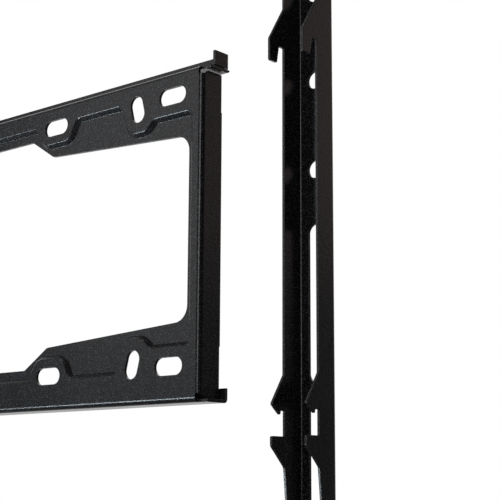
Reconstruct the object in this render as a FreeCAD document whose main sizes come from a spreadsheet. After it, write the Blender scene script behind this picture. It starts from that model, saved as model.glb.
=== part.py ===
import FreeCAD, Part
import math
import os
import Sketcher
from FreeCAD import Rotation, Vector

# Fixed wall bracket for a television: a folded, embossed wall plate and a pair of channel arms.
# The frame: X runs along the plate, Y leads away from the wall, and Z is up. The origin lies on
# the wall face, in the middle of the pattern of wall slots. All lengths are in millimetres.

SIZES = {
    # Wall plate: sheet, outline and folds
    "plate_sheet": 1.8,
    "plate_top": 94.6,
    "plate_bottom": 101.0,
    "plate_depth": 19.7,
    "top_lip_height": 9.6,
    "bottom_lip_height": 6.6,
    "face_bend": 1.2,
    "lip_bend": 0.8,
    # Wall plate: side flanges
    "side_depth": 16.9,
    "side_belly": 0.5,
    "corner_gap": 0.9,
    "corner_clip": 2.2,
    # Wall plate: ears and end stops of the top and bottom flanges
    "ear_reach": 4.0,
    "stop_width": 13.0,
    "stop_slit": 0.8,
    "slit_run": 2.0,
    # Wall plate: embossed step
    "step_depth": 2.8,
    "step_run": 2.6,
    "step_edge": 0.5,
    "side_rim": 7.8,
    "rim_end": 25.6,
    "rim_middle": 11.9,
    "rim_corner": 4.0,
    "foot_corner": 4.0,
    "pad_corner": 8.0,
    "slant_pad_rim": 31.8,
    "slant_pad_floor": 14.0,
    "slant_pad_foot": 28.0,
    "inner_pad_rim": 24.9,
    "inner_pad_floor": 24.2,
    "inner_pad_foot": 38.0,
    # Wall plate: window
    "window_side": 12.2,
    "window_end": 108.8,
    "window_waist": 123.4,
    "window_rail": 149.8,
    "waist_pitch": 190.0,
    "rail_pitch": 148.2,
    "window_corner": 9.7,
    "waist_corner": 3.0,
    # Wall plate: slots for the wall screws
    "outer_slot_pitch": 406.4,
    "outer_slot_margin": 23.8,
    "inner_slot_pitch": 200.0,
    "slant_slot_pitch": 347.8,
    "slot_row_pitch": 160.0,
    "slant_row_pitch": 154.8,
    "slot_width": 10.3,
    "slot_length": 21.6,
    "slant_slot_length": 16.9,
    "slant_slot_lean": 14.5,
    # Arms: channel
    "arm_sheet": 1.5,
    "arm_width": 23.8,
    "arm_depth": 15.1,
    "arm_end_depth": 9.2,
    "arm_bend": 1.0,
    "arm_end_clip": 3.0,
    # Arms: upper hook
    "finger_reach": 12.2,
    "finger_length": 9.5,
    "finger_shoulder": 2.9,
    "hook_rise": 19.9,
    "notch_width": 4.5,
    "notch_mouth": 6.2,
    # Arms: lower jaw
    "jaw_reach": 10.1,
    "jaw_rise": 15.5,
    "notch_pitch": 196.0,
    "tooth_drop": 1.9,
    "tooth_back": 3.0,
    "tooth_tip": 0.6,
    "tooth_lean": 0.4,
    "tooth_fall": 5.0,
    "mouth_height": 13.0,
    "mouth_recess": 0.3,
    "stop_edge": 5.1,
    "stop_rise": 10.4,
    "stop_foot": 0.4,
    "taper_length": 54.0,
    # Arms: rounded corners of the free edges
    "edge_corner": 1.0,
    "notch_corner": 0.4,
    "foot_round": 2.0,
    "taper_round": 5.0,
    # Arms: holes for the screws of the television
    "hole_bore": 9.5,
    "hole_first": 33.5,
    "hole_pitch": 50.0,
    "slot_step": 35.0,
    "upper_slot_span": 74.5,
    "slot_bridge": 20.0,
    "lower_slot_span": 85.5,
    "arm_end_margin": 15.0,
    # Where the arms stand beside the plate
    "arm_pitch": 606.0,
    "arm_out": 9.3,
    "arm_notch_height": 87.1,
}

# How far a cutting outline runs past the sheet that it trims
OVERRUN = 2.0

# How far the upper half of an outline runs past the middle of the plate
MIDDLE_OVERLAP = 6.0

# Round holes in each arm above and below its two slots
UPPER_HOLES = 3
LOWER_HOLES = 2

# How close an edge lies to a level to count as on it
NEAR = 0.01


class Size:
    """A length or angle with its value now and the expression that gives it."""

    def __init__(self, value, text):
        self.value = value
        self.text = text

    @staticmethod
    def of(other):
        """Return a plain number as a Size, and a Size as it is."""
        if isinstance(other, Size):
            return other
        return Size(float(other), str(other))

    def __add__(self, other):
        other = Size.of(other)
        return Size(self.value + other.value, f"({self.text} + {other.text})")

    def __sub__(self, other):
        other = Size.of(other)
        return Size(self.value - other.value, f"({self.text} - {other.text})")

    def __mul__(self, other):
        other = Size.of(other)
        return Size(self.value * other.value, f"({self.text} * {other.text})")

    def __truediv__(self, other):
        other = Size.of(other)
        return Size(self.value / other.value, f"({self.text} / {other.text})")

    def __neg__(self):
        return Size(-self.value, f"(-1 * {self.text})")

    def sine(self):
        """Return the sine of this angle in degrees."""
        return Size(math.sin(math.radians(self.value)), f"sin({self.text})")

    def cosine(self):
        """Return the cosine of this angle in degrees."""
        return Size(math.cos(math.radians(self.value)), f"cos({self.text})")

    def tangent(self):
        """Return the tangent of this angle in degrees."""
        return Size(math.tan(math.radians(self.value)), f"tan({self.text})")

    def slope_over(self, rise):
        """Return the angle in degrees whose tangent is this size over the rise."""
        angle = math.degrees(math.atan(self.value / rise.value))
        return Size(angle, f"atan({self.text} / {rise.text})")


def origin_plane(body, role):
    """Return the body's own origin plane with this role."""
    for feature in body.Origin.OriginFeatures:
        if feature.Role == role:
            return feature
    raise ValueError(f"no origin plane {role}")


class Drawing:
    """A sketch on one of a body's origin planes, with every size bound to the sheet."""

    def __init__(self, body, label, role, lift=None):
        self.sketch = body.newObject("Sketcher::SketchObject", label)
        self.sketch.AttachmentSupport = [(origin_plane(body, role), "")]
        self.sketch.MapMode = "FlatFace"
        if lift is not None:
            self.sketch.AttachmentOffset = FreeCAD.Placement(Vector(0, 0, lift.value), Rotation())
            self.sketch.setExpression("AttachmentOffset.Base.z", lift.text)

    def constrain(self, constraints):
        """Add constraints, each with the size that drives it or None."""
        first = self.sketch.ConstraintCount
        self.sketch.addConstraint([constraint for constraint, _ in constraints])
        for index, (_, size) in enumerate(constraints):
            if size is not None:
                self.sketch.setExpression(f"Constraints[{first + index}]", size.text)

    @staticmethod
    def held_point(geometry, point, x, y):
        """Return the constraints that hold a point at x and y from the origin."""
        held = []
        for kind, axis, size in (("DistanceX", -2, x), ("DistanceY", -1, y)):
            if size.value == 0:
                held.append((Sketcher.Constraint("PointOnObject", geometry, point, axis), None))
            elif size.value > 0:
                held.append((Sketcher.Constraint(kind, -1, 1, geometry, point, size.value), size))
            else:
                held.append((Sketcher.Constraint(kind, geometry, point, -1, 1, -size.value), -size))
        return held

    def outline(self, corners):
        """Draw a closed outline. A corner is x, y and, where it is rounded, its radius."""
        bends = [CornerBend(corners[i - 1], corners[i], corners[(i + 1) % len(corners)])
                 for i in range(len(corners))]
        first = self.sketch.GeometryCount
        count = len(corners)
        self.sketch.addGeometry([
            Part.LineSegment(bends[i].leave, bends[(i + 1) % count].meet) for i in range(count)
        ])
        constraints = []
        for index, bend in enumerate(bends):
            line_in = first + (index - 1) % count
            line_out = first + index
            if bend.radius is None:
                constraints.append((Sketcher.Constraint("Coincident", line_in, 2, line_out, 1), None))
                constraints += self.held_point(line_out, 1, bend.x, bend.y)
            else:
                constraints += self.rounded_corner(bend, line_in, line_out)
        self.constrain(constraints)

    def rounded_corner(self, bend, line_in, line_out):
        """Draw a corner's arc and return the constraints that hold it to its two lines."""
        corner = self.sketch.addGeometry(Part.Point(bend.corner), True)
        arc = self.sketch.addGeometry(bend.arc())
        arc_in, arc_out = (1, 2) if bend.turns_left else (2, 1)
        return self.held_point(corner, 1, bend.x, bend.y) + [
            (Sketcher.Constraint("PointOnObject", corner, 1, line_in), None),
            (Sketcher.Constraint("PointOnObject", corner, 1, line_out), None),
            (Sketcher.Constraint("Tangent", line_in, 2, arc, arc_in), None),
            (Sketcher.Constraint("Tangent", line_out, 1, arc, arc_out), None),
            (Sketcher.Constraint("Radius", arc, bend.radius.value), bend.radius),
        ]

    def circle(self, x, y, radius):
        """Draw a circle round x and y."""
        centre = Vector(x.value, y.value, 0)
        ring = self.sketch.addGeometry(Part.Circle(centre, Vector(0, 0, 1), radius.value))
        self.constrain(self.held_point(ring, 3, x, y) + [
            (Sketcher.Constraint("Radius", ring, radius.value), radius),
        ])

    def slot(self, x, y, span, radius, lean):
        """Draw a slot round x and y. The span runs between the centres of its two ends.

        A lean of 0 degrees stands the slot upright, and more of it tips the top towards -x.
        """
        reach_x = span * lean.sine() / 2
        reach_y = span * lean.cosine() / 2
        ends = [(x - reach_x, y + reach_y), (x + reach_x, y - reach_y)]
        along = math.radians(lean.value)
        arcs = []
        for turn, (end_x, end_y) in enumerate(ends):
            ring = Part.Circle(Vector(end_x.value, end_y.value, 0), Vector(0, 0, 1), radius.value)
            start = along + turn * math.pi
            arcs.append(self.sketch.addGeometry(Part.ArcOfCircle(ring, start, start + math.pi)))
        first, second = (self.sketch.Geometry[arc] for arc in arcs)
        left = self.sketch.addGeometry(Part.LineSegment(first.EndPoint, second.StartPoint))
        right = self.sketch.addGeometry(Part.LineSegment(second.EndPoint, first.StartPoint))
        constraints = [
            (Sketcher.Constraint("Tangent", arcs[0], 2, left, 1), None),
            (Sketcher.Constraint("Tangent", left, 2, arcs[1], 1), None),
            (Sketcher.Constraint("Tangent", arcs[1], 2, right, 1), None),
            (Sketcher.Constraint("Tangent", right, 2, arcs[0], 1), None),
            (Sketcher.Constraint("Radius", arcs[0], radius.value), radius),
        ]
        for arc, (end_x, end_y) in zip(arcs, ends):
            constraints += self.held_point(arc, 3, end_x, end_y)
        self.constrain(constraints)


class CornerBend:
    """Where an outline turns at a corner, and the arc that rounds it."""

    def __init__(self, before, here, after):
        self.x, self.y = here[0], here[1]
        self.radius = here[2] if len(here) > 2 else None
        self.corner = Vector(self.x.value, self.y.value, 0)
        way_in = (self.corner - Vector(before[0].value, before[1].value, 0)).normalize()
        way_out = (Vector(after[0].value, after[1].value, 0) - self.corner).normalize()
        self.turns_left = way_in.cross(way_out).z > 0
        radius = self.radius.value if self.radius else 0.0
        trim = radius * math.tan(way_in.getAngle(way_out) / 2)
        self.meet = self.corner - way_in * trim
        self.leave = self.corner + way_out * trim
        inward = Vector(-way_in.y, way_in.x, 0) * (1 if self.turns_left else -1)
        self.centre = self.meet + inward * radius

    def arc(self):
        """Return the arc that joins the two sides."""
        start, end = (self.meet, self.leave) if self.turns_left else (self.leave, self.meet)
        ring = Part.Circle(self.centre, Vector(0, 0, 1), self.radius.value)
        return Part.ArcOfCircle(ring, self.angle_of(start), self.angle_of(end))

    def angle_of(self, point):
        """Return the angle of a point round the arc's centre."""
        spoke = point - self.centre
        return math.atan2(spoke.y, spoke.x)


def extrude(body, kind, label, drawing, length=None, back=False, both=False, taper=None):
    """Add a pad or pocket. Without a length it goes through the whole body."""
    feature = body.newObject(f"PartDesign::{kind}", label)
    feature.Profile = drawing.sketch
    feature.Reversed = back
    if both:
        feature.SideType = "Symmetric"
    if length is None:
        feature.Type = "ThroughAll"
    else:
        feature.Length = length.value
        feature.setExpression("Length", length.text)
    if taper is not None:
        feature.TaperAngle = taper.value
        feature.setExpression("TaperAngle", taper.text)
    drawing.sketch.Visibility = False
    return feature


def mirror(body, label, role, originals):
    """Repeat features on the other side of one of the body's origin planes."""
    feature = body.newObject("PartDesign::Mirrored", label)
    feature.Originals = originals
    feature.MirrorPlane = (origin_plane(body, role), [""])
    body.Tip = feature
    return feature


def chamfer_edges(body, label, chosen, width):
    """Break the edges of the body's shape that the chosen function picks."""
    base = body.Tip
    names = [f"Edge{i + 1}" for i, edge in enumerate(base.Shape.Edges) if chosen(edge)]
    feature = body.newObject("PartDesign::Chamfer", label)
    feature.Base = (base, names)
    feature.Size = width.value
    feature.setExpression("Size", width.text)
    return feature


def upper_half(quarter):
    """Return the upper half of an outline that is alike on both sides of both axes.

    It runs a little past the middle, so that it meets its own mirror image below.
    """
    side = quarter[0][0]
    past_middle = Size.of(-MIDDLE_OVERLAP)
    other = [(-x, y, radius) for x, y, radius in reversed(quarter)]
    return [(side, past_middle)] + quarter + other + [(-side, past_middle)]


class WallPlate:
    """The folded, embossed sheet that is screwed to the wall."""

    LABEL = "wall_plate"

    def __init__(self, doc, size):
        self.doc = doc
        self.size = size
        self.body = doc.addObject("PartDesign::Body", self.LABEL)
        self.body.Label = self.LABEL
        self.side_x = size.outer_slot_pitch / 2 + size.outer_slot_margin
        self.ear_x = self.side_x + size.ear_reach
        self.face_outer_bend = size.face_bend + size.plate_sheet
        self.lip_outer_bend = size.lip_bend + size.plate_sheet
        self.fold_x = self.side_x - self.face_outer_bend
        self.lip_inner = size.plate_depth - size.plate_sheet
        self.top_lip_top = size.plate_top + size.top_lip_height
        self.bottom_lip_top = -size.plate_bottom + size.plate_sheet + size.bottom_lip_height
        self.side_top = size.plate_top - size.plate_sheet - size.corner_gap
        self.side_bottom = -size.plate_bottom + size.plate_sheet + size.corner_gap

    def build(self):
        """Build the plate and return its body."""
        self.folded_strip()
        self.ends()
        self.embossed_step()
        mirror(self.body, "lower_openings", "XY_Plane", [self.window(), self.wall_slots()])
        self.doc.recompute()
        return self.body

    def folded_strip(self):
        """Face, top and bottom flanges and their upturned lips, as one folded section."""
        size = self.size
        zero = Size.of(0)
        sheet = size.plate_sheet
        depth = size.plate_depth
        top, bottom = size.plate_top, -size.plate_bottom
        section = Drawing(self.body, "strip_section", "YZ_Plane")
        section.outline([
            (zero, top, self.face_outer_bend),
            (zero, bottom, self.face_outer_bend),
            (depth, bottom, self.lip_outer_bend),
            (depth, self.bottom_lip_top),
            (self.lip_inner, self.bottom_lip_top),
            (self.lip_inner, bottom + sheet, size.lip_bend),
            (sheet, bottom + sheet, size.face_bend),
            (sheet, top - sheet, size.face_bend),
            (depth, top - sheet, self.lip_outer_bend),
            (depth, self.top_lip_top),
            (self.lip_inner, self.top_lip_top),
            (self.lip_inner, top, size.lip_bend),
        ])
        extrude(self.body, "Pad", "folded_strip", section, self.ear_x * 2, both=True)

    def ends(self):
        """Side flange, corner reliefs and end stop of the right end, mirrored to the left."""
        features = [self.fold_clearance(), *self.side_flange(), self.corner_clips()]
        features += [*self.stop_cuts(), self.end_stop()]
        mirror(self.body, "left_end", "YZ_Plane", features)

    def fold_clearance(self):
        """Cut the face and its bends back to the fold, so that only the two ears reach past."""
        drawing = Drawing(self.body, "fold_clearance_outline", "XY_Plane")
        past = self.ear_x + OVERRUN
        drawing.outline([
            (self.fold_x, Size.of(-OVERRUN)),
            (past, Size.of(-OVERRUN)),
            (past, self.face_outer_bend),
            (self.fold_x, self.face_outer_bend),
        ])
        return extrude(self.body, "Pocket", "fold_clearance", drawing, both=True)

    def side_flange(self):
        """The side flange folds back from the face and is a little deeper in its middle."""
        size = self.size
        zero = Size.of(0)
        sheet = size.plate_sheet
        joined = self.fold_x - sheet
        section = Drawing(self.body, "side_flange_section", "XY_Plane", self.side_bottom)
        section.outline([
            (joined, zero),
            (self.side_x, zero, self.face_outer_bend),
            (self.side_x, size.side_depth),
            (self.side_x - sheet, size.side_depth),
            (self.side_x - sheet, sheet, size.face_bend),
            (joined, sheet),
        ])
        height = self.side_top - self.side_bottom
        flange = extrude(self.body, "Pad", "side_flange", section, height)
        belly_section = Drawing(self.body, "side_belly_section", "XY_Plane")
        belly_section.outline([
            (self.side_x - sheet, size.side_depth - sheet),
            (self.side_x, size.side_depth - sheet),
            (self.side_x, size.side_depth + size.side_belly),
            (self.side_x - sheet, size.side_depth + size.side_belly),
        ])
        belly = extrude(self.body, "Pad", "side_belly", belly_section, self.rim_end_height() * 2, both=True)
        return flange, belly

    def corner_clips(self):
        """Slanting reliefs where the side flange meets the folds of the two long flanges."""
        size = self.size
        drawing = Drawing(self.body, "corner_clip_outline", "YZ_Plane", self.fold_x)
        near = Size.of(-OVERRUN)
        start = self.face_outer_bend
        far = start + size.corner_clip
        for edge, sign in ((self.side_top, 1), (self.side_bottom, -1)):
            inner = edge - size.corner_clip * sign
            outer = edge + size.corner_gap * sign / 2
            drawing.outline([(near, inner), (start, inner), (far, edge), (far, outer), (near, outer)])
        return extrude(self.body, "Pocket", "corner_clip", drawing, self.ear_x - self.fold_x, back=True)

    def stop_cuts(self):
        """Free the end of the top lip: a slit over the flange, then the lip's end comes off."""
        size = self.size
        past = size.plate_depth + OVERRUN
        bend = size.plate_depth - self.lip_outer_bend
        lip_end = self.ear_x - self.lip_outer_bend
        slit_start = lip_end - size.slit_run
        slit_top = size.plate_top + size.stop_slit
        slit = Drawing(self.body, "stop_slit_outline", "YZ_Plane", slit_start)
        slit.outline([
            (bend, size.plate_top),
            (past, size.plate_top),
            (past, slit_top),
            (bend, slit_top),
        ])
        slit_cut = extrude(self.body, "Pocket", "stop_slit", slit, self.ear_x - slit_start, back=True)
        lip = Drawing(self.body, "lip_end_outline", "YZ_Plane", lip_end)
        lip.outline([
            (bend, size.plate_top),
            (past, size.plate_top),
            (past, self.top_lip_top + OVERRUN),
            (bend, self.top_lip_top + OVERRUN),
        ])
        lip_cut = extrude(self.body, "Pocket", "lip_end", lip, self.ear_x - lip_end, back=True)
        return slit_cut, lip_cut

    def end_stop(self):
        """The top lip's end, bent back towards the wall."""
        size = self.size
        sheet = size.plate_sheet
        base = size.plate_top + size.stop_slit
        joined = self.ear_x - self.lip_outer_bend - sheet
        free_edge = size.plate_depth - size.stop_width
        section = Drawing(self.body, "end_stop_section", "XY_Plane", base)
        section.outline([
            (joined, self.lip_inner),
            (self.ear_x - sheet, self.lip_inner, size.lip_bend),
            (self.ear_x - sheet, free_edge),
            (self.ear_x, free_edge),
            (self.ear_x, size.plate_depth, self.lip_outer_bend),
            (joined, size.plate_depth),
        ])
        return extrude(self.body, "Pad", "end_stop", section, self.top_lip_top - base)

    def rim_end_height(self):
        """Height of the step's edge over the middle, beyond the slanting slots."""
        return self.size.plate_top - self.size.rim_end

    def rim_middle_height(self):
        """Height of the step's edge over the middle, between the pads."""
        return self.size.plate_top - self.size.rim_middle

    def step_outline(self, outset):
        """Edge of the band that touches the wall, with a pad round each slot.

        The outset moves the whole edge away from the window, for the back of the sheet.
        """
        size = self.size
        side = self.side_x - size.side_rim + outset
        end = self.rim_end_height()
        middle = self.rim_middle_height()
        slant_floor = size.plate_top - size.slant_pad_rim
        inner_floor = size.plate_top - size.inner_pad_rim
        return upper_half(
            [(side, end + outset, size.rim_corner + outset)]
            + self.pad_side(size.slant_slot_pitch, size.slant_pad_floor, size.slant_pad_foot,
                            slant_floor, end, outset)
            + self.pad_side(size.slant_slot_pitch, -size.slant_pad_floor, -size.slant_pad_foot,
                            slant_floor, middle, outset)[::-1]
            + self.pad_side(size.inner_slot_pitch, size.inner_pad_floor, size.inner_pad_foot,
                            inner_floor, middle, outset)
            + self.pad_side(size.inner_slot_pitch, -size.inner_pad_floor, -size.inner_pad_foot,
                            inner_floor, middle, outset)[::-1]
        )

    def pad_side(self, pitch, floor_width, foot_width, floor, foot, outset):
        """Corners of one side of a slot's pad: its foot on the band, then its floor.

        The widths are negative on the side that faces the middle of the plate.
        """
        size = self.size
        run = (foot_width - floor_width) / 2
        lean = (foot - floor).slope_over(run)
        shift = outset * (lean / 2).tangent()
        centre = pitch / 2
        return [
            (centre + foot_width / 2 - shift, foot + outset, size.foot_corner + outset),
            (centre + floor_width / 2 - shift, floor + outset, size.pad_corner - outset),
        ]

    def embossed_step(self):
        """Sink the border of the window, so that the slots' band alone touches the wall."""
        size = self.size
        lean = size.step_run.slope_over(size.step_depth)
        through = size.step_depth + size.plate_sheet
        back = Drawing(self.body, "step_back_outline", "XZ_Plane")
        back.outline(self.step_outline(size.plate_sheet / lean.cosine()))
        back_pad = extrude(self.body, "Pad", "step_back", back, through, back=True, taper=-lean)
        mirror(self.body, "lower_step_back", "XY_Plane", [back_pad])
        front = Drawing(self.body, "step_front_outline", "XZ_Plane")
        front.outline(self.step_outline(Size.of(0)))
        front_cut = extrude(self.body, "Pocket", "step_front", front, size.step_depth, taper=-lean)
        mirror(self.body, "lower_step_front", "XY_Plane", [front_cut])
        self.doc.recompute()
        chamfer_edges(self.body, "step_edges", self.is_step_edge, size.step_edge)

    def is_step_edge(self, edge):
        """Tell whether an edge is an outward one of the step, on the wall side or the back."""
        size = self.size
        box = edge.BoundBox
        levels = (0.0, size.step_depth.value + size.plate_sheet.value)
        level = any(max(abs(box.YMin - y), abs(box.YMax - y)) < NEAR for y in levels)
        reach = (self.side_x - size.side_rim).value + NEAR
        height = self.rim_middle_height().value + NEAR
        across = max(abs(box.XMin), abs(box.XMax))
        upward = max(abs(box.ZMin), abs(box.ZMax))
        return level and across < reach and upward < height

    def window(self):
        """The large opening, with a deeper waist at each end and narrow rails between."""
        size = self.size
        drawing = Drawing(self.body, "window_outline", "XZ_Plane")
        drawing.outline(upper_half([
            (self.side_x - size.window_side, size.window_end / 2, size.window_corner),
            (size.waist_pitch / 2, size.window_waist / 2, size.waist_corner),
            (size.rail_pitch / 2, size.window_rail / 2, size.waist_corner),
        ]))
        return extrude(self.body, "Pocket", "window", drawing, both=True)

    def wall_slots(self):
        """Level slots, and slanting ones that let the plate be trued, for the upper row."""
        size = self.size
        radius = size.slot_width / 2
        level = Size.of(90)
        span = size.slot_length - size.slot_width
        slant_span = size.slant_slot_length - size.slot_width
        height = size.slot_row_pitch / 2
        drawing = Drawing(self.body, "wall_slot_outlines", "XZ_Plane")
        for side in (1, -1):
            for pitch in (size.outer_slot_pitch, size.inner_slot_pitch):
                drawing.slot(pitch * side / 2, height, span, radius, level)
            drawing.slot(size.slant_slot_pitch * side / 2, size.slant_row_pitch / 2,
                         slant_span, radius, size.slant_slot_lean * side)
        return extrude(self.body, "Pocket", "wall_slots", drawing, both=True)


class Arm:
    """One of the two channels that are screwed to the television and hang on the plate.

    In its own frame the web's outer face lies at Y = 0 and the flanges reach towards -Y. Z = 0 is
    where the notch of the upper hook rests on the plate's top lip.
    """

    def __init__(self, doc, size, label, side):
        self.doc = doc
        self.size = size
        self.side = side
        self.body = doc.addObject("PartDesign::Body", label)
        self.body.Label = label
        self.upper_slot = size.hole_first - size.hole_pitch * (UPPER_HOLES - 1) - size.slot_step
        self.lower_slot = self.upper_slot - size.upper_slot_span - size.slot_bridge
        self.lower_hole = self.lower_slot - size.lower_slot_span - size.slot_step
        self.top = size.hole_first + size.arm_end_margin
        self.bottom = self.lower_hole - size.hole_pitch * (LOWER_HOLES - 1) - size.arm_end_margin

    def build(self):
        """Build the arm where it stands, and return its body."""
        self.channel()
        self.free_edge()
        self.web_holes()
        self.place()
        self.doc.recompute()
        return self.body

    def channel(self):
        """A U section as deep as the finger of the hook reaches, over the whole length."""
        size = self.size
        sheet = size.arm_sheet
        half = size.arm_width / 2
        inner = half - sheet
        outer_bend = size.arm_bend + sheet
        reach = -(size.arm_depth + size.finger_reach + OVERRUN)
        zero = Size.of(0)
        section = Drawing(self.body, f"{self.body.Label}_section", "XY_Plane", self.bottom)
        section.outline([
            (half, reach),
            (half, zero, outer_bend),
            (-half, zero, outer_bend),
            (-half, reach),
            (-inner, reach),
            (-inner, -sheet, size.arm_bend),
            (inner, -sheet, size.arm_bend),
            (inner, reach),
        ])
        extrude(self.body, "Pad", f"{self.body.Label}_channel", section, self.top - self.bottom)

    def free_edge(self):
        """Cut both flanges to their outline: upper hook, straight edge, lower jaw and taper."""
        size = self.size
        edge = -size.arm_depth
        beyond = edge - size.finger_reach - OVERRUN * 2
        top = self.top
        bottom = self.bottom
        drawing = Drawing(self.body, f"{self.body.Label}_edge_outline", "YZ_Plane")
        drawing.outline(
            [(beyond, top + OVERRUN), (edge + size.arm_end_clip, top + OVERRUN)]
            + [(edge + size.arm_end_clip, top), (edge, top - size.arm_end_clip)]
            + self.upper_hook(edge)
            + self.lower_jaw(edge)
            + self.lower_end(bottom)
            + [(beyond, bottom - OVERRUN)]
        )
        extrude(self.body, "Pocket", f"{self.body.Label}_edge", drawing, both=True)

    def upper_hook(self, edge):
        """The finger that drops behind the top lip, and its notch, which opens downwards."""
        size = self.size
        tip = edge - size.finger_reach
        corner = size.notch_corner
        return [
            (edge, size.finger_shoulder + size.hook_rise, size.foot_round),
            (tip, size.finger_shoulder, size.edge_corner),
            (tip, -size.finger_length, size.edge_corner),
            (edge - size.notch_mouth, -size.finger_length, corner),
            (edge - size.notch_width, Size.of(0), corner),
            (edge, Size.of(0), corner),
        ]

    def lower_jaw(self, edge):
        """The cam and tooth that snap behind the bottom lip, and the stop under them."""
        size = self.size
        notch = -size.notch_pitch
        reach = edge - size.jaw_reach
        tip = notch - size.tooth_drop
        apex = tip + size.tooth_fall
        floor = notch - size.mouth_height
        recess = edge + size.mouth_recess
        tooth = edge - size.tooth_back
        corner = size.notch_corner
        under = floor - size.stop_edge
        return [
            (edge, apex + size.jaw_rise, size.foot_round),
            (reach, apex, size.edge_corner),
            (tooth - size.tooth_lean - size.tooth_tip, tip),
            (tooth - size.tooth_lean, tip),
            (tooth, notch),
            (recess, notch, corner),
            (recess, floor, corner),
            (reach, floor, size.edge_corner),
            (reach, under, size.edge_corner),
            (edge + size.stop_foot, under - size.stop_rise, size.foot_round),
        ]

    def lower_end(self, bottom):
        """Below the jaw the flanges taper to the depth that they keep down to the end."""
        size = self.size
        jaw_end = -(size.notch_pitch + size.mouth_height + size.stop_edge + size.stop_rise)
        shallow = -size.arm_end_depth
        return [
            (shallow, jaw_end - size.taper_length, size.taper_round),
            (shallow, bottom + size.arm_end_clip),
            (shallow + size.arm_end_clip, bottom),
            (shallow + size.arm_end_clip, bottom - OVERRUN),
        ]

    def web_holes(self):
        """Round holes near both ends and two long slots between them, down the web."""
        size = self.size
        zero = Size.of(0)
        radius = size.hole_bore / 2
        drawing = Drawing(self.body, f"{self.body.Label}_hole_outlines", "XZ_Plane")
        for first, count in ((size.hole_first, UPPER_HOLES), (self.lower_hole, LOWER_HOLES)):
            for step in range(count):
                drawing.circle(zero, first - size.hole_pitch * step, radius)
        for top, span in ((self.upper_slot, size.upper_slot_span), (self.lower_slot, size.lower_slot_span)):
            drawing.slot(zero, top - span / 2, span, radius, zero)
        extrude(self.body, "Pocket", f"{self.body.Label}_holes", drawing, both=True)

    def place(self):
        """Stand the arm beside its end of the plate."""
        size = self.size
        spot = (size.arm_pitch * self.side / 2, size.arm_out, size.arm_notch_height)
        self.body.Placement = FreeCAD.Placement(Vector(*(part.value for part in spot)), Rotation())
        for axis, part in zip("xyz", spot):
            self.body.setExpression(f"Placement.Base.{axis}", part.text)


def make_sheet(doc):
    """Write every size to the document's sheet and return them as sizes by name."""
    sheet = doc.addObject("Spreadsheet::Sheet", "sizes")
    read = {}
    for row, (alias, value) in enumerate(SIZES.items(), start=1):
        sheet.set(f"A{row}", alias)
        sheet.set(f"B{row}", str(value))
        sheet.setAlias(f"B{row}", alias)
        read[alias] = Size(value, f"sizes.{alias}")
    doc.recompute()
    return SizeBook(read)


class SizeBook:
    """The sizes of the sheet, each read as an attribute."""

    def __init__(self, sizes):
        self.__dict__.update(sizes)


def check(doc, bodies):
    """Stop if any object failed or any body has no sound single solid."""
    for item in doc.Objects:
        if "Invalid" in item.State or "Error" in item.State:
            raise RuntimeError(f"{item.Label} failed: {item.State}")
    for body in bodies:
        shape = body.Shape
        if shape.isNull() or not shape.isValid() or len(shape.Solids) != 1:
            raise RuntimeError(f"{body.Label} is not one sound solid")


def main():
    """Build the bracket and write one file for each piece."""
    doc = FreeCAD.newDocument("wall_bracket")
    size = make_sheet(doc)
    bodies = [WallPlate(doc, size).build()]
    for label, side in (("right_arm", 1), ("left_arm", -1)):
        bodies.append(Arm(doc, size, label, side).build())
    check(doc, bodies)
    os.makedirs("parts", exist_ok=True)
    for body in bodies:
        body.Shape.exportStep(f"parts/{body.Label}.step")
        print(f"{body.Label}: {body.Shape.Volume / 1000:.2f} cm3")


main()
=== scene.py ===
"""A fixed wall bracket for a flat screen: one embossed wall plate and two slotted hook arms.

Every piece is folded steel sheet under a fine-grained black powder coat. The frame gives each
sheet's shape. This script rounds the cut edges, dresses the sheets and sets up the studio.
"""

import logging
import math
from dataclasses import dataclass
from enum import Enum
from typing import Any

import bmesh
import bpy
from mathutils import Matrix, Vector

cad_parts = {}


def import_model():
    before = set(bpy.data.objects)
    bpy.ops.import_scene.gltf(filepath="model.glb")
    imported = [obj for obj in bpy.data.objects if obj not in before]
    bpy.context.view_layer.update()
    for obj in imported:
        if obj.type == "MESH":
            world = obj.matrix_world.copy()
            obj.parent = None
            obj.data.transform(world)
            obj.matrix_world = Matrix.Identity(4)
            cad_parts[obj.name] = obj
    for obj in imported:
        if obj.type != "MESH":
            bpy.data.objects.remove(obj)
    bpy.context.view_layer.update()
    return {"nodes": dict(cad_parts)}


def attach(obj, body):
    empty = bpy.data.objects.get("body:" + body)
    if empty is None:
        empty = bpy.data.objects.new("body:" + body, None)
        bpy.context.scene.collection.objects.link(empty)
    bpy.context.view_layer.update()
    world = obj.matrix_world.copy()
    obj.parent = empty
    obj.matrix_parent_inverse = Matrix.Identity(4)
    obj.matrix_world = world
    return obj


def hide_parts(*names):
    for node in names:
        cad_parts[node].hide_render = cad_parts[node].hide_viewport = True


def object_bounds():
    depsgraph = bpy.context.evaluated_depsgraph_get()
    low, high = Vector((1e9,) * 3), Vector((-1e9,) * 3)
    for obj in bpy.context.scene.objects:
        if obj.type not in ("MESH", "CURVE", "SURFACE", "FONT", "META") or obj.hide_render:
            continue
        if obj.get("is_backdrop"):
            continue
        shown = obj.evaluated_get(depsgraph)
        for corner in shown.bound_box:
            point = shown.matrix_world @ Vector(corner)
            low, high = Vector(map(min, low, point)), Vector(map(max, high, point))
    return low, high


Number = int | float
Span = tuple[float, float]
Place = tuple[float, float, float]
Colour = tuple[float, float, float]

log = logging.getLogger("wall_bracket")

ROOT_BODY = "root"
COAT_SLOT = "black_powder_coat"
IMAGE_SIDE = 500
LARGE_FACES_LEAD = 100
NOISE_MIDDLE = 0.5
MATRIX_SIZE = 4
MM = 0.001

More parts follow.
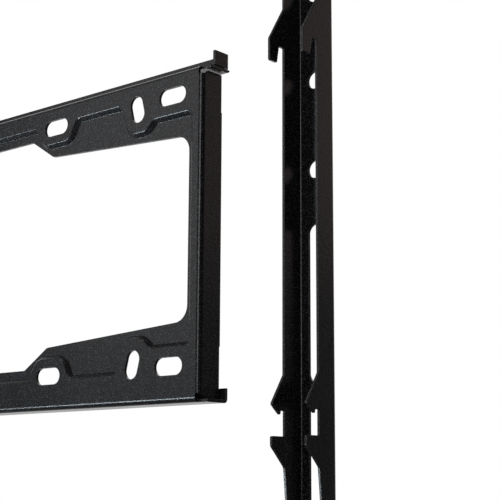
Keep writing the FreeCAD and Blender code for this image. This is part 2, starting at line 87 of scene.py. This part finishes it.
ORIGIN: Place = (0.0, 0.0, 0.0)
WHITE: Colour = (1.0, 1.0, 1.0)
COOL_LIGHT: Colour = (0.82, 0.93, 1.0)
WARM_LIGHT: Colour = (1.0, 0.80, 0.72)
LAMP_DISTANCE = 2.4
CARD_PLACE: Place = (-0.40, -0.60, -0.285)
OVER_CARD: Place = (-0.40, -0.60, 1.0)


class Turn(Enum):
    """How far two faces turn from each other at the kinds of edge that a folded sheet has."""

    CUT = math.radians(62.0)
    FORMED = math.radians(38.0)


class Side(Enum):
    """The two hook arms, as seen from in front of the wall face."""

    RIGHT = "right_arm"
    LEFT = "left_arm"


class Value:
    """One output socket, so that shader sums read as plain expressions."""

    def __init__(self, graph: "Graph", socket: bpy.types.NodeSocket | None) -> None:
        """Keeps the socket and the graph that it belongs to."""
        self.graph = graph
        self.socket = socket

    def _sum(self, operation: str, first: Any, second: Any) -> "Value":
        """Adds one Math node with these two values or links."""
        return self.graph.add("ShaderNodeMath", {"operation": operation}, {0: first, 1: second})

    def __add__(self, other: Any) -> "Value":
        """self + other."""
        return self._sum("ADD", self, other)

    def __radd__(self, other: Any) -> "Value":
        """other + self."""
        return self._sum("ADD", other, self)

    def __sub__(self, other: Any) -> "Value":
        """self - other."""
        return self._sum("SUBTRACT", self, other)

    def __rsub__(self, other: Any) -> "Value":
        """other - self."""
        return self._sum("SUBTRACT", other, self)

    def __mul__(self, other: Any) -> "Value":
        """self * other."""
        return self._sum("MULTIPLY", self, other)

    def __rmul__(self, other: Any) -> "Value":
        """other * self."""
        return self._sum("MULTIPLY", other, self)

    def __truediv__(self, other: Any) -> "Value":
        """self / other."""
        return self._sum("DIVIDE", self, other)

    def __rtruediv__(self, other: Any) -> "Value":
        """other / self."""
        return self._sum("DIVIDE", other, self)

    def at_least(self, floor: Any) -> "Value":
        """The larger of this value and another."""
        return self._sum("MAXIMUM", self, floor)


class Graph:
    """A node tree that is written one node at a time."""

    def __init__(self, tree: bpy.types.NodeTree) -> None:
        """Empties the tree."""
        self.tree = tree
        tree.nodes.clear()

    def add(
        self,
        kind: str,
        settings: dict[str, Any] | None = None,
        inputs: dict[Any, Any] | None = None,
        output: Any = 0,
    ) -> Value:
        """Adds a node, sets it up and fills its sockets.

        Args:
            kind: The node's type.
            settings: The node's own settings, which are set first.
            inputs: A value or a link for each socket, by name or by number.
            output: The output that is wanted, by name or by number.

        Returns:
            The wanted output, with no socket on a node that has none.
        """
        node = self.tree.nodes.new(kind)
        for name, value in (settings or {}).items():
            setattr(node, name, value)
        for name, value in (inputs or {}).items():
            socket = self._open_socket(node.inputs, name)
            if isinstance(value, Value):
                self.tree.links.new(value.socket, socket)
            else:
                socket.default_value = value
        wanted = self._open_socket(node.outputs, output) if node.outputs else None
        return Value(self, wanted)

    @staticmethod
    def _open_socket(sockets: Any, name: Any) -> bpy.types.NodeSocket:
        """Finds the socket in use that has a name or a number.

        Args:
            sockets: The node's inputs or outputs.
            name: The socket's name or number.

        Returns:
            The socket.
        """
        if isinstance(name, int):
            return sockets[name]
        return next(s for s in sockets if s.name == name and s.enabled)

    def remap(
        self, value: Value, low: Number, high: Number, start: Number = 0.0, end: Number = 1.0
    ) -> Value:
        """Turns the span low to high into start to end, with a soft start and end.

        Args:
            value: What is read.
            low: The reading that gives start.
            high: The reading that gives end.
            start: The result at low and under it.
            end: The result at high and over it.

        Returns:
            The result.
        """
        spans = {"From Min": low, "From Max": high, "To Min": start, "To Max": end}
        settings = {"interpolation_type": "SMOOTHSTEP"}
        return self.add("ShaderNodeMapRange", settings, {"Value": value, **spans})

    def mix(self, share: Any, first: Any, second: Any) -> Value:
        """Mixes two colours.

        Args:
            share: How much of the second colour there is, from 0 to 1.
            first: A colour or a link.
            second: Another colour or link.

        Returns:
            The mixed colour.
        """
        sockets = {"Factor": share, "A": first, "B": second}
        settings = {"data_type": "RGBA", "blend_type": "MIX"}
        return self.add("ShaderNodeMix", settings, sockets, "Result")

    def length(self, vector: Value) -> Value:
        """How long a vector is."""
        return self.add("ShaderNodeVectorMath", {"operation": "LENGTH"}, {0: vector}, "Value")

    def dot(self, first: Any, second: Any) -> Value:
        """The dot product of two vectors."""
        settings = {"operation": "DOT_PRODUCT"}
        return self.add("ShaderNodeVectorMath", settings, {0: first, 1: second}, "Value")


def opaque(colour: Colour) -> tuple[float, float, float, float]:
    """A colour with its fourth channel."""
    return (*colour, 1.0)


@dataclass(frozen=True)
class PowderCoat:
    """Black powder coat, baked on steel sheet: a pebbled grain, with painted light on the grain's
    crests, painted glints on fine grains and painted highlights along sharp edges.
    """

    colour: Colour = (0.0042, 0.0039, 0.0041)
    # Painted light on the grain's crests, against painted shade in its pits.
    crest_light_colour: Colour = (0.0105, 0.0101, 0.0108)
    # Painted highlight along sharp edges.
    edge_highlight_colour: Colour = (0.0850, 0.0830, 0.0830)
    # Painted glints on the brightest grains.
    glint_colour: Colour = (0.150, 0.160, 0.190)
    roughness: float = 0.24
    roughness_drift: float = 0.06
    refraction: float = 1.47
    grain_size: float = 0.85 * MM
    grain_height: float = 0.065 * MM
    grain_detail: float = 2.0
    crest_light_span: Span = (0.5, 0.75)
    pebble_size: float = 2.1 * MM
    pebble_share: float = 0.7
    pebble_detail: float = 1.0
    cloud_size: float = 38.0 * MM
    cloud_share: float = 0.25
    cloud_detail: float = 3.0
    cloud_span: Span = (0.3, 0.7)
    finer_share: float = 0.5
    glint_spacing: float = 0.55 * MM
    glint_reach: float = 0.60
    glint_rarity: float = 0.42
    edge_radius: float = 0.45 * MM
    edge_samples: int = 6
    edge_highlight_span: Span = (0.02, 0.22)

    def material(self, name: str) -> bpy.types.Material:
        """Makes the coat.

        Args:
            name: The material's name.

        Returns:
            The finished material.
        """
        made = bpy.data.materials.new(name)
        made.use_nodes = True
        made.diffuse_color = opaque(self.colour)
        graph = Graph(made.node_tree)
        place = graph.add("ShaderNodeTexCoord", output="Object")
        grain = self._noise(graph, place, self.grain_size, self.grain_detail)
        pebble = self._noise(graph, place, self.pebble_size, self.pebble_detail)
        cloud = self._noise(graph, place, self.cloud_size, self.cloud_detail)
        rounded = graph.add(
            "ShaderNodeBevel", {"samples": self.edge_samples}, {"Radius": self.edge_radius}
        )
        bump = graph.add(
            "ShaderNodeBump",
            {},
            {
                "Strength": 1.0,
                "Distance": self.grain_height,
                "Height": grain + pebble * self.pebble_share,
                "Normal": rounded,
            },
        )
        # Painted glints.
        glint = self._painted_glints(graph, place)
        # Mask of the sharp edges that get a painted highlight.
        edge = self._edge_highlight_mask(graph, rounded)
        shader = graph.add(
            "ShaderNodeBsdfPrincipled",
            {},
            {
                "Base Color": self._colour(graph, grain, cloud, glint, edge),
                "Roughness": self.roughness + (cloud - NOISE_MIDDLE) * self.roughness_drift,
                "IOR": self.refraction,
                "Normal": bump,
            },
        )
        graph.add("ShaderNodeOutputMaterial", {}, {"Surface": shader})
        return made

    def _noise(self, graph: Graph, place: Value, size: float, detail: float) -> Value:
        """Noise whose marks are about one size across.

        Args:
            graph: The material's graph.
            place: The point on the piece.
            size: The marks' size in metres.
            detail: How many finer layers lie on them.

        Returns:
            A value round one half.
        """
        marks = {"Scale": 1.0 / size, "Detail": detail, "Roughness": self.finer_share}
        settings = {"noise_dimensions": "3D"}
        return graph.add("ShaderNodeTexNoise", settings, {"Vector": place, **marks}, "Fac")

    def _painted_glints(self, graph: Graph, place: Value) -> Value:
        """Painted glints: the middle of some cells of a fine scatter, each as strong as its
        chance.

        Args:
            graph: The material's graph.
            place: The point on the piece.

        Returns:
            One in the middle of the brightest glints, and zero between them.
        """
        settings = {"voronoi_dimensions": "3D", "feature": "F1"}
        sockets = {"Vector": place, "Scale": 1.0 / self.glint_spacing}
        distance = graph.add("ShaderNodeTexVoronoi", settings, sockets, "Distance")
        picked = graph.add("ShaderNodeTexVoronoi", settings, sockets, "Color")
        chance = graph.add("ShaderNodeSeparateColor", {}, {0: picked}, "Red")
        strength = graph.remap(chance, self.glint_rarity, 1.0)
        return strength * graph.remap(distance, 0.0, self.glint_reach, 1.0, 0.0)

    def _edge_highlight_mask(self, graph: Graph, rounded: Value) -> Value:
        """One along sharp edges, which get a painted highlight, and zero on flat faces."""
        flat = graph.add("ShaderNodeNewGeometry", output="Normal")
        return graph.remap(1.0 - graph.dot(flat, rounded), *self.edge_highlight_span)

    def _colour(
        self, graph: Graph, grain: Value, cloud: Value, glint: Value, edge: Value
    ) -> Value:
        """The coat's colour: painted shade in pits, painted light on crests, slow drift, painted
        highlights on sharp edges and painted glints.

        Args:
            graph: The material's graph.
            grain: The grain's height.
            cloud: The slow drift.
            glint: One in the painted glints.
            edge: One along the sharp edges that get a painted highlight.

        Returns:
            The colour.
        """
        light = opaque(tuple(c * (1.0 + self.cloud_share) for c in self.colour))
        dark = opaque(tuple(c * (1.0 - self.cloud_share) for c in self.colour))
        body = graph.mix(graph.remap(cloud, *self.cloud_span), dark, light)
        # Painted shade in the grain's pits and painted light on its crests.
        lit_crests = graph.remap(grain, *self.crest_light_span)
        pebbled = graph.mix(lit_crests, body, opaque(self.crest_light_colour))
        # Painted highlight along sharp edges.
        with_edge_highlight = graph.mix(edge, pebbled, opaque(self.edge_highlight_colour))
        # Painted glints on the brightest grains.
        return graph.mix(glint, with_edge_highlight, opaque(self.glint_colour))


class SkinTree:
    """The node tree that turns a loose sheet into one skin, marks its edges and coats it."""

    MERGE = "Merge distance"
    ANGLE = "Edge angle"
    COAT = "Coat"

    def __init__(self, name: str) -> None:
        """Writes the tree.

        Args:
            name: The tree's name.
        """
        self.tree = bpy.data.node_groups.new(name, "GeometryNodeTree")
        face = self.tree.interface
        face.new_socket("Geometry", in_out="INPUT", socket_type="NodeSocketGeometry")
        for title, kind in (
            (self.MERGE, "NodeSocketFloat"),
            (self.ANGLE, "NodeSocketFloat"),
            (self.COAT, "NodeSocketMaterial"),
        ):
            face.new_socket(title, in_out="INPUT", socket_type=kind)
        face.new_socket("Geometry", in_out="OUTPUT", socket_type="NodeSocketGeometry")
        graph = Graph(self.tree)
        sheet = graph.add("NodeGroupInput", output="Geometry")
        merge = graph.add("NodeGroupInput", output=self.MERGE)
        limit = graph.add("NodeGroupInput", output=self.ANGLE)
        coat = graph.add("NodeGroupInput", output=self.COAT)
        skin = graph.add("GeometryNodeMergeByDistance", {}, {"Geometry": sheet, "Distance": merge})
        turn = graph.add("GeometryNodeInputMeshEdgeAngle", output="Unsigned Angle")
        under = {"data_type": "FLOAT", "operation": "LESS_THAN"}
        soft = graph.add("FunctionNodeCompare", under, {"A": turn, "B": limit})
        shade = "GeometryNodeSetShadeSmooth"
        smooth = graph.add(shade, {"domain": "FACE"}, {"Geometry": skin, "Shade Smooth": True})
        marked = graph.add(shade, {"domain": "EDGE"}, {"Geometry": smooth, "Shade Smooth": soft})
        plain = graph.add("GeometryNodeRealizeInstances", {}, {"Geometry": marked})
        coated = graph.add("GeometryNodeSetMaterial", {}, {"Geometry": plain, "Material": coat})
        graph.add("NodeGroupOutput", {}, {"Geometry": coated})

    def use(
        self, piece: bpy.types.Object, merge: float, angle: float, coat: bpy.types.Material
    ) -> None:
        """Puts the tree on a piece as a modifier, with its inputs set.

        Args:
            piece: The piece to coat.
            merge: How near two points are that become one.
            angle: The turn from which an edge is sharp.
            coat: The material.
        """
        modifier = piece.modifiers.new("skin", "NODES")
        modifier.node_group = self.tree
        wanted = {self.MERGE: merge, self.ANGLE: angle, self.COAT: coat}
        for item in self.tree.interface.items_tree:
            if item.in_out == "INPUT" and item.name in wanted:
                modifier[item.identifier] = wanted[item.name]


@dataclass
class FoldedSheet:
    """One folded steel sheet of the bracket, coated after it was cut and bent.

    Its sizes: how wide the cut edges are rounded, in how many steps and how full the round is,
    how near loose points are that become one, and the turn under which faces count as one flat.
    """

    coat: bpy.types.Material
    skin: SkinTree
    edge_round: float = 0.28 * MM
    edge_steps: int = 2
    edge_fullness: float = 0.5
    weld: float = 0.004 * MM
    flatness: float = math.radians(0.6)

    def node(self) -> str:
        """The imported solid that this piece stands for."""
        raise NotImplementedError

    def build(self, solids: dict[str, bpy.types.Object]) -> bpy.types.Object:
        """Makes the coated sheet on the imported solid's own surface.

        Args:
            solids: The frame's nodes by name.

        Returns:
            The finished piece, riding on the bracket and standing for the solid.
        """
        piece = self._copy(solids[self.node()])
        self._round_cut_edges(piece.data)
        self._dress(piece)
        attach(piece, ROOT_BODY)
        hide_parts(self.node())
        log.info("%s: %d faces", piece.name, len(piece.data.polygons))
        return piece

    def _copy(self, solid: bpy.types.Object) -> bpy.types.Object:
        """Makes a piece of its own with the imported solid's mesh.

        Args:
            solid: The frame's node.

        Returns:
            The new piece.
        """
        name = "coated_" + self.node()
        mesh = solid.data.copy()
        mesh.name = name
        mesh.materials.clear()
        piece = bpy.data.objects.new(name, mesh)
        bpy.context.scene.collection.objects.link(piece)
        return piece

    def _round_cut_edges(self, mesh: bpy.types.Mesh) -> None:
        """Joins the loose faces and rounds every edge that the press cut.

        Args:
            mesh: The sheet's mesh, which is changed.
        """
        work = bmesh.new()
        work.from_mesh(mesh)
        bmesh.ops.remove_doubles(work, verts=work.verts, dist=self.weld)
        bmesh.ops.dissolve_limit(
            work,
            angle_limit=self.flatness,
            verts=work.verts,
            edges=work.edges,
            use_dissolve_boundaries=False,
        )
        cut = [e for e in work.edges if e.is_manifold and e.calc_face_angle(0.0) > Turn.CUT.value]
        bmesh.ops.bevel(
            work,
            geom=cut,
            offset=self.edge_round,
            offset_type="OFFSET",
            segments=self.edge_steps,
            profile=self.edge_fullness,
            affect="EDGES",
            clamp_overlap=True,
            miter_outer="ARC",
        )
        work.to_mesh(mesh)
        work.free()

    def _dress(self, piece: bpy.types.Object) -> None:
        """Coats the sheet and bakes its modifiers into a plain mesh.

        Args:
            piece: The sheet's piece.
        """
        self.skin.use(piece, self.weld, Turn.FORMED.value, self.coat)
        weighted = piece.modifiers.new("even_faces", "WEIGHTED_NORMAL")
        weighted.keep_sharp = True
        weighted.weight = LARGE_FACES_LEAD
        bpy.context.view_layer.update()
        seen = piece.evaluated_get(bpy.context.evaluated_depsgraph_get())
        made = bpy.data.meshes.new_from_object(seen)
        piece.modifiers.clear()
        piece.data = made
        made.name = piece.name


@dataclass
class WallPlate(FoldedSheet):
    """The embossed frame on the wall, with its two lips, four ears and two end stops."""

    def node(self) -> str:
        """The wall plate's solid."""
        return "wall_plate"


@dataclass
class HookArm(FoldedSheet):
    """One slotted channel behind the screen, whose hooks hang on the wall plate's lips."""

    side: Side = Side.RIGHT
    edge_round: float = 0.24 * MM

    def node(self) -> str:
        """This side's arm."""
        return self.side.value


def around(azimuth: float, elevation: float) -> Place:
    """A place round the bracket, at the lamps' distance from the middle of the wall face.

    Args:
        azimuth: Degrees to the right of straight in front of the wall face.
        elevation: Degrees above the horizon.

    Returns:
        The place.
    """
    turn = math.radians(azimuth)
    rise = math.radians(elevation)
    flat = LAMP_DISTANCE * math.cos(rise)
    return (flat * math.sin(turn), -flat * math.cos(turn), LAMP_DISTANCE * math.sin(rise))


@dataclass(frozen=True)
class SoftBox:
    """One soft lamp: where it is, its size in metres, its power in watts and its light."""

    name: str
    place: Place
    width: float
    height: float
    power: float
    colour: Colour = WHITE
    aim: Place = ORIGIN

    def build(self) -> bpy.types.Object:
        """Makes the lamp.

        Returns:
            The lamp's object.
        """
        lamp = bpy.data.lights.new(self.name, "AREA")
        lamp.shape = "RECTANGLE"
        lamp.size = self.width
        lamp.size_y = self.height
        lamp.energy = self.power
        lamp.color = self.colour
        made = bpy.data.objects.new(self.name, lamp)
        made.location = self.place
        turn = Vector(self.aim) - Vector(self.place)
        made.rotation_euler = turn.to_track_quat("-Z", "Y").to_euler()
        made.visible_camera = False
        bpy.context.scene.collection.objects.link(made)
        return made


@dataclass(frozen=True)
class Backdrop:
    """The white backdrop behind the bracket, which straight and glossy rays show."""

    way: Place = (-0.647, 0.762, 0.0)
    span: Span = (0.25, 0.75)

    def share(self, graph: Graph, towards: Value) -> Value:
        """How much of it stands in a direction, from that direction's cosine to its own."""
        return graph.remap(towards, *self.span)

    @staticmethod
    def rays(graph: Graph) -> tuple[Value, Value]:
        """Which rays show the backdrop.

        Args:
            graph: The graph that asks.

        Returns:
            One for rays straight from the camera or through glass, and one for rays off gloss.
        """
        direct = graph.add("ShaderNodeLightPath", output="Is Camera Ray")
        through = graph.add("ShaderNodeLightPath", output="Is Transmission Ray")
        return direct.at_least(through), graph.add("ShaderNodeLightPath", output="Is Glossy Ray")


@dataclass(frozen=True)
class FloorPaint:
    """Pale matt paint near the bracket that turns into the white backdrop further out."""

    backdrop: Backdrop
    colour: Colour = (0.30, 0.30, 0.30)
    roughness: float = 0.9
    white_from: float = 0.35
    white_at: float = 1.30
    near_white: float = 0.45

    def material(self, name: str) -> bpy.types.Material:
        """Makes the paint.

        Args:
            name: The material's name.

        Returns:
            The floor's material.
        """
        paint = bpy.data.materials.new(name)
        paint.use_nodes = True
        graph = Graph(paint.node_tree)
        place = graph.add("ShaderNodeTexCoord", output="Object")
        direct, gloss = self.backdrop.rays(graph)
        far = graph.length(place)
        backdrop = self.backdrop.share(graph, graph.dot(place, self.backdrop.way) / far)
        white = graph.remap(far, self.white_from, self.white_at, self.near_white, 1.0)
        reach = white * direct.at_least(gloss * backdrop)
        look = {"Base Color": opaque(self.colour), "Roughness": self.roughness}
        matt = graph.add("ShaderNodeBsdfPrincipled", {}, look)
        glow = graph.add("ShaderNodeEmission", {}, {"Color": opaque(WHITE), "Strength": 1.0})
        both = graph.add("ShaderNodeMixShader", {}, {0: reach, 1: matt, 2: glow})
        graph.add("ShaderNodeOutputMaterial", {}, {"Surface": both})
        return paint


@dataclass
class Studio:
    """A plain pale floor, a white backdrop and soft light."""

    backdrop: Backdrop = Backdrop()
    ambient: float = 0.15
    room: float = 0.05
    floor_side: float = 9.0
    floor_gap: float = 0.2 * MM
    lamps: tuple[SoftBox, ...] = (
        SoftBox("wide_lamp", around(-38.0, 17.0), width=0.95, height=1.2, power=3.4),
        SoftBox("high_lamp", around(-30.0, 50.0), width=1.4, height=1.2, power=6.0),
        SoftBox("front_lamp", around(22.0, 12.0), width=0.8, height=1.0, power=9.5),
        SoftBox(
            "low_card",
            CARD_PLACE,
            width=0.46,
            height=0.36,
            power=13.0,
            colour=COOL_LIGHT,
            aim=OVER_CARD,
        ),
        SoftBox(
            "right_lamp", around(140.0, 19.0), width=1.0, height=0.9, power=0.75, colour=WARM_LIGHT
        ),
        SoftBox("back_lamp", around(-155.0, 35.0), width=1.4, height=1.4, power=8.0),
    )

    def build(self) -> None:
        """Makes the world, the floor and the lamps."""
        self._world()
        self._floor()
        for lamp in self.lamps:
            lamp.build()
            log.info("%s: %.2f W", lamp.name, lamp.power)

    def _world(self) -> None:
        """White behind the bracket, and a soft even light all round it."""
        world = bpy.data.worlds.new("studio")
        bpy.context.scene.world = world
        world.use_nodes = True
        graph = Graph(world.node_tree)
        way = graph.add("ShaderNodeTexCoord", output="Generated")
        backdrop = self.backdrop.share(graph, graph.dot(way, self.backdrop.way))
        direct, gloss = self.backdrop.rays(graph)
        off_gloss = gloss * (self.room + backdrop * (1.0 - self.room))
        level = self.ambient * (1.0 - direct) * (1.0 - gloss) + direct + off_gloss
        light = graph.add("ShaderNodeBackground", {}, {"Color": opaque(WHITE), "Strength": level})
        graph.add("ShaderNodeOutputWorld", {}, {"Surface": light})

    def _floor(self) -> None:
        """A pale floor just under the arms that turns into the white backdrop further out."""
        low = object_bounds()[0].z - self.floor_gap
        work = bmesh.new()
        bmesh.ops.create_grid(work, x_segments=1, y_segments=1, size=self.floor_side / 2)
        bmesh.ops.translate(work, verts=work.verts, vec=(0.0, 0.0, low))
        mesh = bpy.data.meshes.new("studio_floor")
        work.to_mesh(mesh)
        work.free()
        mesh.materials.append(FloorPaint(self.backdrop).material("floor_paint"))
        floor = bpy.data.objects.new("studio_floor", mesh)
        bpy.context.scene.collection.objects.link(floor)
        floor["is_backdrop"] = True


@dataclass(frozen=True)
class Camera:
    """The photograph's viewpoint: in front of the wall face, to the right and a little below."""

    place: Place = (0.7014, -0.5158, -0.1504)
    heading: float = math.radians(40.30669)
    upward: float = math.radians(10.90148)
    roll: float = math.radians(0.25649)
    focal_pixels: float = 1261.8
    sensor: float = 36.0
    nearest: float = 0.01
    furthest: float = 100.0

    def build(self) -> bpy.types.Object:
        """Makes the camera and gives it to the scene.

        Returns:
            The camera's object.
        """
        lens = bpy.data.cameras.new("photo_camera")
        lens.sensor_fit = "HORIZONTAL"
        lens.sensor_width = self.sensor
        lens.lens = self.focal_pixels / IMAGE_SIDE * self.sensor
        lens.clip_start = self.nearest
        lens.clip_end = self.furthest
        made = bpy.data.objects.new("photo_camera", lens)
        turn = Matrix.Rotation(self.heading, MATRIX_SIZE, "Z")
        tilt = Matrix.Rotation(math.pi / 2 + self.upward, MATRIX_SIZE, "X")
        lean = Matrix.Rotation(self.roll, MATRIX_SIZE, "Z")
        made.matrix_world = Matrix.Translation(self.place) @ turn @ tilt @ lean
        bpy.context.scene.collection.objects.link(made)
        bpy.context.scene.camera = made
        return made


def main() -> None:
    """Loads the frame, dresses the bracket and sets up the studio, logging face counts and lamp
    powers.
    """
    logging.basicConfig(level=logging.INFO, format="%(name)s %(message)s")
    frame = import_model()
    bpy.context.scene.view_settings.view_transform = "Standard"
    Camera().build()
    # The coat with painted glints, painted edge highlights and painted light on the grain's
    # crests.
    coat = PowderCoat().material(COAT_SLOT + "_finish")
    skin = SkinTree("coated_skin")
    sheets = (WallPlate(coat, skin), *(HookArm(coat, skin, side=side) for side in Side))
    for sheet in sheets:
        sheet.build(frame["nodes"])
    Studio().build()


if __name__ == "__main__":
    main()
